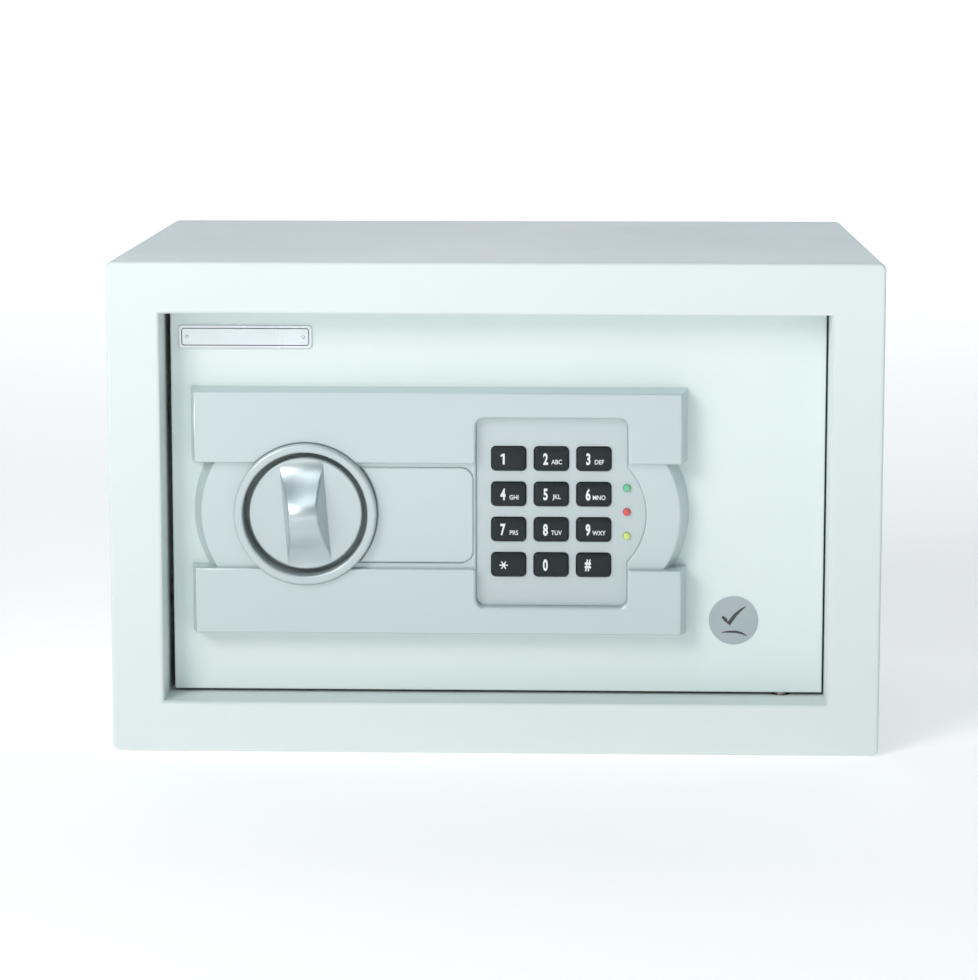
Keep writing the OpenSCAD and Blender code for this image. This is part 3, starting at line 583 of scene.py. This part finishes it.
def arc(centre, radius, start, end, steps=6):
    """Points of a circular arc in a plane, angles in degrees."""
    turns = [math.radians(start + (end - start) * i / steps) for i in range(steps + 1)]
    return [(centre[0] + radius * math.cos(turn), centre[1] + radius * math.sin(turn))
            for turn in turns]


def rounded_loop(x, z, width, height, radius, depth, steps=6):
    """A rounded rectangle facing the viewer; sizes in mm, centre in metres."""
    points = []
    for sx, sz, start in ((1, 1, 0), (-1, 1, 90), (-1, -1, 180), (1, -1, 270)):
        corner = (sx * (width / 2 - radius), sz * (height / 2 - radius))
        points += arc(corner, radius, start, start + 90, steps)
    return [Vector((x + u * MM, FRONT + depth * MM, z + w * MM)) for u, w in points]


def face_the_viewer(ink):
    """Flips the faces of flat ink that point away from the viewer."""
    for face in ink.faces:
        if face.normal.y > 0:
            face.normal_flip()


def middle_of(node):
    """The middle of a CAD node's box."""
    low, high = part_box(node)
    return (low + high) / 2


# ---- Pieces ----

class SAFE_OT_finishes(bpy.types.Operator):
    """Makes the shared shader groups and every finish, and puts each finish on its CAD nodes"""
    bl_idname = "safe.finishes"
    bl_label = "Finishes"

    def execute(self, context):
        for plain in list(bpy.data.materials):
            bpy.data.materials.remove(plain)
        grain_group()
        wear_group()
        dust_and_shade_group()
        made = make_finishes()
        for node, slot in SLOT_OF.items():
            data = frame["nodes"][node].data
            data.materials.clear()
            data.materials.append(made[slot])
        return {"FINISHED"}


class SAFE_OT_cabinet(bpy.types.Operator):
    """Makes the folded steel cabinet: front rim, wrapped shell, back and fittings"""
    bl_idname = "safe.cabinet"
    bl_label = "Cabinet"

    def execute(self, context):
        back = CAD_BOX[1].y - 0.3 * MM
        refined("front_frame", context.scene.safe_shapes.fold, in_front(0))
        for node in ("body_shell", "back_panel"):
            refined(node, 0.5 * MM, lambda first, second: first.y > back and second.y > back)
        for node, width in (("strike_plate", 0.3), ("door_stop", 0.3), ("hinge_brackets", 0.3),
                            ("hinge_bushes", 0.2)):
            refined(node, width * MM)
        return {"FINISHED"}


class SAFE_OT_floor_mat(bpy.types.Operator):
    """Makes the felt mat on the inside floor, with a soft cut edge and two punched holes"""
    bl_idname = "safe.floor_mat"
    bl_label = "Floor mat"

    def execute(self, context):
        piece = refined("floor_mat", 0.6 * MM)
        return {"FINISHED"}


class SAFE_OT_door(bpy.types.Operator):
    """Makes the door plate, its hinges and the cover over the works"""
    bl_idname = "safe.door"
    bl_label = "Door"

    def execute(self, context):
        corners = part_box("door_plate")

        def on_the_rim(first, second):
            return min(abs(first[axis] - corner[axis]) + abs(second[axis] - corner[axis])
                       for axis in (0, 2) for corner in corners) < 0.1 * MM

        refined("door_plate", 0.7 * MM, on_the_rim)
        for node, width in (("rear_cover", 0.7), ("hinge_blocks", 0.5), ("hinge_pins", 0.4),
                            ("lock_bracket", 0.3), ("battery_tray", 0.3), ("battery_lid", 0.6),
                            ("reset_button", 0.5), ("cover_screws", 0.3)):
            refined(node, width * MM)
        return {"FINISHED"}


class SAFE_OT_works(bpy.types.Operator):
    """Rounds the bolts, their carriage and the other works behind the door"""
    bl_idname = "safe.works"
    bl_label = "Works"

    def execute(self, context):
        for node, width in (("bolt_upper", 1.2), ("bolt_lower", 1.2), ("bolt_carriage", 0.3),
                            ("drive_cam", 0.3), ("guide_screws", 0.3), ("solenoid_frame", 0.2),
                            ("solenoid_coil", 0.5), ("batteries", 0.5),
                            ("override_lock_nut", 0.3), ("override_lock_cam", 0.2)):
            refined(node, width * MM)
        self.spring("plunger_spring", 2 * MM)
        return {"FINISHED"}

    def spring(self, node, stroke):
        """Makes the plunger's spring from its CAD shape, with a mesh of its own; the stroke is not
        used.
        """
        mesh = bmesh.new()
        mesh.from_mesh(frame["nodes"][node].data)
        piece = make_piece(node + "_fine", mesh, body_of_node(node), SLOT_OF[node], (node,),
                           flatten=False)
        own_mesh(piece)


class SAFE_OT_lock_panel(bpy.types.Operator):
    """Makes the moulded lock panel, its key plate and the cover tile"""
    bl_idname = "safe.lock_panel"
    bl_label = "Lock panel"

    def execute(self, context):
        round_off = context.scene.safe_shapes.mould_round
        recess_round, tile_round, tile_growth = 1.3 * MM, 0.8 * MM, 0.66 * MM
        low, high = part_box("key_cover")
        near_panel = in_front(9)
        reach = 1.6 * MM

        def off_the_tile(first, second):
            return near_panel(first, second) and not all(
                point.y > FRONT + 7.6 * MM and low.x - reach < point.x < high.x + reach
                and low.z - reach < point.z < high.z + reach for point in (first, second))

        window_low, window_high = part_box("keypad_plate")
        slack = 0.2 * MM

        def window(first, second):
            inside = all(window_low.x - slack < point.x < window_high.x + slack
                         and window_low.z - slack < point.z < window_high.z + slack
                         and point.y < FRONT + 7 * MM for point in (first, second))
            return inside and (low.z > max(first.z, second.z) or min(first.z, second.z) > high.z)

        mesh = cad_copy("lock_panel")
        soften(mesh, recess_round, window, segments=5)
        soften(mesh, round_off, off_the_tile)
        make_piece("lock_panel_fine", mesh, "door", "panel_plastic", ("lock_panel",))
        refined("keypad_plate", 0.25 * MM, in_front(9.6))
        tile = cad_copy("key_cover")
        middle = middle_of("key_cover")
        for vert in tile.verts:
            for axis in (0, 2):
                share = 1 + tile_growth / (high[axis] - low[axis])
                vert.co[axis] = middle[axis] + (vert.co[axis] - middle[axis]) * share
        soften(tile, tile_round, in_front(7.3), segments=4)
        make_piece("key_cover_fine", tile, "key_cover", "panel_plastic", ("key_cover",))
        return {"FINISHED"}


class SAFE_OT_knob(bpy.types.Operator):
    """Makes the knob with its arched grip, and the ring round it"""
    bl_idname = "safe.knob"
    bl_label = "Knob"

    def execute(self, context):
        low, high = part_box("knob_bezel")
        x, z = (low.x + high.x) / 2, (low.z + high.z) / 2
        outer = (high.x - low.x) / 2 / MM
        inner = outer - 3.6
        near = (low.y - FRONT) / MM
        self.ring(x, z, outer, inner, near)

        disc = bmesh.new()
        radius = inner - 2.2
        face = near + 3.5
        edge = 0.9
        boss, boss_depth, shaft = 8, 16.5, 4
        profile = [(NEARLY_ZERO, face), (radius - edge, face)]
        profile += arc((radius - edge, face + edge), edge, -90, 0)
        profile += [(radius, face + 6), (boss, face + 6), (boss, boss_depth), (shaft, boss_depth),
                    (shaft, face + 3), (NEARLY_ZERO, face + 3)]
        turned(disc, x, z, profile, 128)
        self.grip(disc, x, z, face, context.scene.safe_shapes.grip_crest / MM / 2)
        bmesh.ops.recalc_face_normals(disc, faces=disc.faces)
        make_piece("knob_fine", disc, "knob", "knob_plastic", ("knob",), crease=50, flatten=False)
        return {"FINISHED"}

    def ring(self, x, z, outer, inner, near):
        """Makes the ring round the knob from its radii and its front's depth in mm."""
        ring = bmesh.new()
        sleeve, sleeve_depth, flange = outer - 2, 16, near + 5.5
        outer_edge, inner_edge = 1.3, 0.9
        profile = [(sleeve, sleeve_depth), (sleeve, flange), (outer, flange)]
        profile += arc((outer - outer_edge, near + outer_edge), outer_edge, 0, -90)
        profile += arc((inner + inner_edge, near + inner_edge), inner_edge, -90, -180)
        profile += [(inner, sleeve_depth), (sleeve, sleeve_depth)]
        turned(ring, x, z, profile, 128)
        make_piece("knob_bezel_fine", ring, "door", "bezel_plastic", ("knob_bezel",), crease=50)

    def grip(self, mesh, x, z, face, crest):
        """Adds the arched grip to the knob's disc; crest is its half width at the top, in mm."""
        foot, reach, height = 8.8, 20.8, 11.9
        lean = math.radians(4.5)
        steps = 56
        rings = []
        for i in range(steps + 1):
            along = -reach + 2 * reach * i / steps
            tall = height * (0.5 + 0.5 * math.cos(math.pi * along / reach)) ** 0.9
            edge = min(1.6, 0.42 * tall) + 0.01
            top = foot - (foot - crest) * tall / height
            section = [(-foot, -0.4), (-foot, 0)]
            section += [(-foot + (foot - top) * k / 4, (tall - edge) * k / 4)
                        for k in range(1, 4)]
            section += arc((-top + edge, tall - edge), edge, 180, 100, 5)
            section += [(0, tall + 0.1 * tall / height)]
            section += arc((top - edge, tall - edge), edge, 80, 0, 5)
            section += [(foot - (foot - top) * k / 4, (tall - edge) * k / 4)
                        for k in range(3, 0, -1)]
            section += [(foot, 0), (foot, -0.4)]
            rings.append([Vector((x + (u * math.cos(lean) - along * math.sin(lean)) * MM,
                                  FRONT + (face - up) * MM,
                                  z + (along * math.cos(lean) + u * math.sin(lean)) * MM))
                          for u, up in section])
        ends = join_rings(mesh, rings, closed=False)
        for end in (ends[0], ends[-1]):
            mesh.faces.new(end)


def crown(u, w, width, height, depth, rise):
    """Depth of a key's bulged face at a place on it, all in mm."""
    fall = max(abs(2 * u / width) ** 2.5, abs(2 * w / height) ** 2.5)
    return depth + rise * fall


class SAFE_OT_keys(bpy.types.Operator):
    """Makes the twelve keys with their bulged faces and white legends"""
    bl_idname = "safe.keys"
    bl_label = "Keys"

    def execute(self, context):
        rise = context.scene.safe_shapes.key_crown / MM
        flange, flange_front, flange_back = 1.6, 3.7, 4.5
        corner, edge = 1.5, 0.75
        for node in KEY_NAMES:
            low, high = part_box(node)
            x, z = (low.x + high.x) / 2, (low.z + high.z) / 2
            near = (low.y - FRONT) / MM
            full_width, full_height = (high.x - low.x) / MM, (high.z - low.z) / MM
            width, height = full_width - flange, full_height - flange
            shape = (x, z, width, height, near, rise)
            key = bmesh.new()
            loops = [rounded_loop(x, z, width + flange, height + flange, 1.0, near + flange_back),
                     rounded_loop(x, z, width + flange, height + flange, 1.0, near + flange_front),
                     rounded_loop(x, z, width, height, corner, near + flange_front)]
            for back_in, along in arc((0, 0), edge, 0, 90, 5):
                inset = edge - back_in
                loops.append(rounded_loop(x, z, width - 2 * inset, height - 2 * inset,
                                          corner - 0.6 * inset, near + rise + edge - along))
            for inset in (1.4, 2.2, 3.2, 4.2):
                loop = rounded_loop(x, z, width - 2 * inset, height - 2 * inset,
                                    max(0.3, 1.05 - 0.25 * inset), 0)
                for point in loop:
                    deep = crown((point.x - x) / MM, (point.z - z) / MM, *shape[2:])
                    point.y = FRONT + deep * MM
                loops.append(loop)
            made = join_rings(key, loops)
            key.faces.new(made[-1])
            key.faces.new(list(reversed(made[0])))
            bmesh.ops.recalc_face_normals(key, faces=key.faces)
            make_piece(node + "_fine", key, node, "key_black", (node,), crease=50, flatten=False)
            digit, letters = KEY_LEGENDS[node]
            if digit == "*":
                self.star(node, shape)
            elif digit == "1":
                self.one(node, shape)
            else:
                self.legend(node, digit, shape, node, **DIGIT)
            if letters:
                self.legend(node + "_letters", letters, shape, node, **LETTERS)
        return {"FINISHED"}

    def legend(self, name, words, shape, body, size, squeeze, right, up, bold):
        """Prints a legend on a key; sizes and places in mm, from the key's middle."""
        curve = bpy.data.curves.new(name + "_legend", "FONT")
        curve.body = words
        curve.size = size
        curve.offset = bold
        curve.align_x = "CENTER"
        curve.resolution_u = 4
        words_object = bpy.data.objects.new(name + "_legend_curve", curve)
        bpy.context.scene.collection.objects.link(words_object)
        bpy.context.view_layer.update()
        seen = words_object.evaluated_get(bpy.context.evaluated_depsgraph_get())
        ink = bmesh.new()
        ink.from_mesh(seen.to_mesh())
        bpy.data.objects.remove(words_object)
        bmesh.ops.triangulate(ink, faces=ink.faces)
        low = min(v.co.y for v in ink.verts)
        high = max(v.co.y for v in ink.verts)
        wide = (min(v.co.x for v in ink.verts) + max(v.co.x for v in ink.verts)) / 2
        for vert in ink.verts:
            vert.co.x = (vert.co.x - wide) * squeeze + right
            vert.co.y += up - (low + high) / 2
        self.print_ink(name, ink, shape, body)

    def star(self, name, shape):
        """Prints a six-armed star on a key."""
        ink = bmesh.new()
        tip, root = 1.75, 0.62
        arms = []
        for i in range(24):
            angle = math.pi * (i + 0.5) / 12
            reach = tip if i % 4 in (0, 3) else root
            arms.append(ink.verts.new((reach * math.cos(angle) + STAR_RIGHT,
                                       reach * math.sin(angle), 0)))
        hub = ink.verts.new((STAR_RIGHT, 0, 0))
        for first, second in zip(arms, arms[1:] + arms[:1]):
            ink.faces.new((first, second, hub))
        self.print_ink(name, ink, shape, name)

    def one(self, name, shape):
        """Prints a figure one with a short flag."""
        ink = bmesh.new()
        for outline in ([(-0.1, -2.2), (0.7, -2.2), (0.7, 2.2), (-0.1, 2.2)],
                        [(-0.1, 1.25), (-0.1, 2.2), (-0.95, 1.6), (-0.95, 0.85)]):
            ink.faces.new([ink.verts.new((u + DIGIT["right"], w, 0)) for u, w in outline])
        self.print_ink(name, ink, shape, name)

    def print_ink(self, name, ink, shape, body):
        """Lays flat ink, drawn in mm from the key's middle, on the key's bulged face."""
        x, z, *face = shape
        proud = 0.05
        for vert in ink.verts:
            u, w = vert.co.x, vert.co.y
            deep = crown(u, w, *face) - proud
            vert.co = Vector((x + u * MM, FRONT + deep * MM, z + w * MM))
        ink.normal_update()
        face_the_viewer(ink)
        make_piece(name + "_legend", ink, body, "key_black", material="white_ink", flatten=False)


class SAFE_OT_lamps(bpy.types.Operator):
    """Makes the three domed status lamps"""
    bl_idname = "safe.lamps"
    bl_label = "Status lamps"

    def execute(self, context):
        radius, rim_back = 1.45, 12
        for colour in ("green", "red", "yellow"):
            node = "status_lamp_" + colour
            low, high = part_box(node)
            middle = middle_of(node)
            near, far = (low.y - FRONT) / MM, (high.y - FRONT) / MM
            lens = bmesh.new()
            profile = [(NEARLY_ZERO, near)] + arc((0, near + radius), radius, -86, 0, 10)
            profile += [(radius, rim_back), (radius, far), (NEARLY_ZERO, far)]
            turned(lens, middle.x, middle.z, profile, 40)
            make_piece(node + "_fine", lens, "door", "lamp_" + colour, (node,), crease=50,
                       flatten=False)
        return {"FINISHED"}


class SAFE_OT_markings(bpy.types.Operator):
    """Makes the blank nameplate with its rivets and the round sticker with a tick"""
    bl_idname = "safe.markings"
    bl_label = "Nameplate and sticker"

    def execute(self, context):
        proud, rivet_inset = 0.03, 3.4
        low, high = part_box("name_badge")
        refined("name_badge", 0.3 * MM, in_front(16.5))
        depth = (low.y - FRONT) / MM
        centre = (low + high) / 2
        width, height = (high.x - low.x) / MM, (high.z - low.z) / MM
        border = bmesh.new()
        join_rings(border, [rounded_loop(centre.x, centre.z, width - margin, height - margin,
                                         corner, depth - proud)
                            for margin, corner in ((2.2, 1.2), (2.9, 0.9))])
        make_piece("name_badge_border", border, "door", "badge_metal", material="black_ink",
                   flatten=False)
        dome = [(NEARLY_ZERO, -0.35), (0.4, -0.31), (0.75, -0.15), (0.9, 0.1)]
        for side, name in ((-1, "left"), (1, "right")):
            rivet = bmesh.new()
            turned(rivet, centre.x + side * (width / 2 - rivet_inset) * MM, centre.z,
                   [(radius, depth + behind) for radius, behind in dome], 24)
            make_piece("name_badge_rivet_" + name, rivet, "door", "badge_metal", flatten=False)

        refined("inspection_label", 0.1 * MM, in_front(16.75))
        low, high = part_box("inspection_label")
        centre = (low + high) / 2
        depth = (low.y - FRONT) / MM - proud
        self.stroke("inspection_label_tick", centre, depth,
                    [(-4.6, 1.6), (-3.2, 0.2), (-1.9, -1.3), (0.6, 2.2), (2.9, 4.4), (5.0, 5.9)],
                    [0.5, 0.75, 0.9, 0.7, 0.45, 0.15])
        self.stroke("inspection_label_line", centre, depth,
                    [(-4.9, -5.0), (-2.0, -4.7), (1.0, -4.7), (3.4, -5.3), (5.6, -6.4)],
                    [0.15, 0.42, 0.5, 0.42, 0.12])
        return {"FINISHED"}

    def stroke(self, name, centre, depth, points, widths):
        """Draws a brush stroke through points, as wide on each side as widths say; all in mm."""
        ink = bmesh.new()
        sides = []
        for i, (u, w) in enumerate(points):
            before, after = points[max(i - 1, 0)], points[min(i + 1, len(points) - 1)]
            run = Vector((after[0] - before[0], after[1] - before[1])).normalized()
            for sign in (1, -1):
                offset = (u - sign * run.y * widths[i], w + sign * run.x * widths[i])
                sides.append(ink.verts.new((centre.x + offset[0] * MM, FRONT + depth * MM,
                                            centre.z + offset[1] * MM)))
        for i in range(0, len(sides) - 2, 2):
            ink.faces.new((sides[i], sides[i + 1], sides[i + 3], sides[i + 2]))
        bmesh.ops.recalc_face_normals(ink, faces=ink.faces)
        face_the_viewer(ink)
        make_piece(name, ink, "door", "label", material="black_ink", flatten=False)


class SAFE_OT_stage(bpy.types.Operator):
    """Makes the pale floor, the soft light and the camera"""
    bl_idname = "safe.stage"
    bl_label = "Stage"

    def execute(self, context):
        scene = context.scene
        studio = scene.safe_studio
        floor = bmesh.new()
        half_width, near_end, flat_end, bend, wall_top = 6.0, -5.0, 2.5, 1.5, 6.0
        line = [(near_end, 0.0)] + arc((flat_end, bend), bend, -90, 0, 24)
        line += [(flat_end + bend, wall_top)]
        join_rings(floor, [[Vector((across, y, z)) for y, z in line]
                           for across in (-half_width, half_width)], closed=False)
        data = bpy.data.meshes.new("studio_floor")
        floor.to_mesh(data)
        floor.free()
        data.shade_smooth()
        data.materials.append(bpy.data.materials["studio_paper"])
        sweep = bpy.data.objects.new("studio_floor", data)
        scene.collection.objects.link(sweep)

        camera = bpy.data.cameras.new("camera")
        camera.lens = studio.lens
        camera.sensor_width = 36
        camera.shift_y = -0.1398
        holder = bpy.data.objects.new("camera", camera)
        holder.location = (0.0318, -1.2504, 0.3112)
        holder.rotation_euler = (math.radians(90) - studio.tilt, 0, studio.turn)
        scene.collection.objects.link(holder)
        scene.camera = holder

        for name, place, size, share, colour in (
                ("key_light", (-0.85, -1.19, 0.90), 0.6, 1.0, (1.0, 0.985, 0.95)),
                ("top_light", (-0.12, -0.58, 0.88), 0.4, 0.12, (1.0, 1.0, 1.0)),
                ("fill_light", (1.8, -2.2, 0.9), 1.6, 0.09, (0.93, 0.97, 1.0))):
            self.lamp(name, place, size, studio.key_light * share, colour)
        scene.world = self.room(studio.room_light)
        scene.view_settings.view_transform = "Standard"
        return {"FINISHED"}

    def room(self, strength):
        """The even light of the room: pale at eye level, dim below and blue overhead."""
        world = bpy.data.worlds.new("studio")
        world.use_nodes = True
        tree = world.node_tree
        backdrop = tree.nodes["Background"]
        place = tree.nodes.new("ShaderNodeTexCoord")
        parts = tree.nodes.new("ShaderNodeSeparateXYZ")
        tree.links.new(place.outputs["Generated"], parts.inputs[0])
        ramp = tree.nodes.new("ShaderNodeValToRGB")
        height = math_node(tree, "MULTIPLY_ADD", parts.outputs["Z"], 0.5, third=0.5)
        tree.links.new(height, ramp.inputs["Fac"])
        pale = (0.96, 0.99, 1.0, 1)
        stops = ramp.color_ramp.elements
        stops[0].position, stops[0].color = 0.40, (0.25, 0.27, 0.28, 1)
        stops[1].position, stops[1].color = 0.50, pale
        for position, colour in ((0.62, pale), (0.82, (0.03, 0.14, 0.25, 1))):
            stops.new(position).color = colour
        tree.links.new(ramp.outputs["Color"], backdrop.inputs["Color"])
        backdrop.inputs["Strength"].default_value = strength
        return world

    def lamp(self, name, place, size, power, colour):
        """A soft square light that looks at the safe."""
        light = bpy.data.lights.new(name, "AREA")
        light.size = size
        light.energy = power
        light.color = colour
        holder = bpy.data.objects.new(name, light)
        holder.location = place
        aim = Vector((0, -0.1, 0.1)) - Vector(place)
        holder.rotation_euler = aim.to_track_quat("-Z", "Y").to_euler()
        holder.visible_camera = False
        bpy.context.scene.collection.objects.link(holder)


# ---- Sidebar and registration ----

OPERATORS = [SAFE_OT_finishes, SAFE_OT_cabinet, SAFE_OT_floor_mat, SAFE_OT_door, SAFE_OT_works,
             SAFE_OT_lock_panel, SAFE_OT_knob, SAFE_OT_keys, SAFE_OT_lamps, SAFE_OT_markings,
             SAFE_OT_stage]
SETTINGS = [("safe_colours", SafeColours), ("safe_shapes", SafeShapes),
            ("safe_studio", SafeStudio)]


class SAFE_PT_sidebar(bpy.types.Panel):
    """Settings and build steps of the room safe"""
    bl_idname = "SAFE_PT_sidebar"
    bl_label = "Room safe"
    bl_space_type = "VIEW_3D"
    bl_region_type = "UI"
    bl_category = "Room safe"

    def draw(self, context):
        for attribute, settings in SETTINGS:
            box = self.layout.box()
            for label in settings.__annotations__:
                box.prop(getattr(context.scene, attribute), label)
        for operator in OPERATORS:
            self.layout.operator(operator.bl_idname)


def register():
    """Registers every class and puts the settings on the scene."""
    for item in [settings for _, settings in SETTINGS] + OPERATORS + [SAFE_PT_sidebar]:
        bpy.utils.register_class(item)
    for attribute, settings in SETTINGS:
        setattr(bpy.types.Scene, attribute, bpy.props.PointerProperty(type=settings))


def unregister():
    """Takes the settings and every class away again."""
    for attribute, settings in SETTINGS:
        delattr(bpy.types.Scene, attribute)
    for item in [SAFE_PT_sidebar] + OPERATORS[::-1] + [settings for _, settings in SETTINGS]:
        bpy.utils.unregister_class(item)


def main():
    """Registers the classes and builds every piece in order."""
    register()
    for operator in OPERATORS:
        group, call = operator.bl_idname.split(".")
        getattr(getattr(bpy.ops, group), call)()


if __name__ == "__main__":
    main()
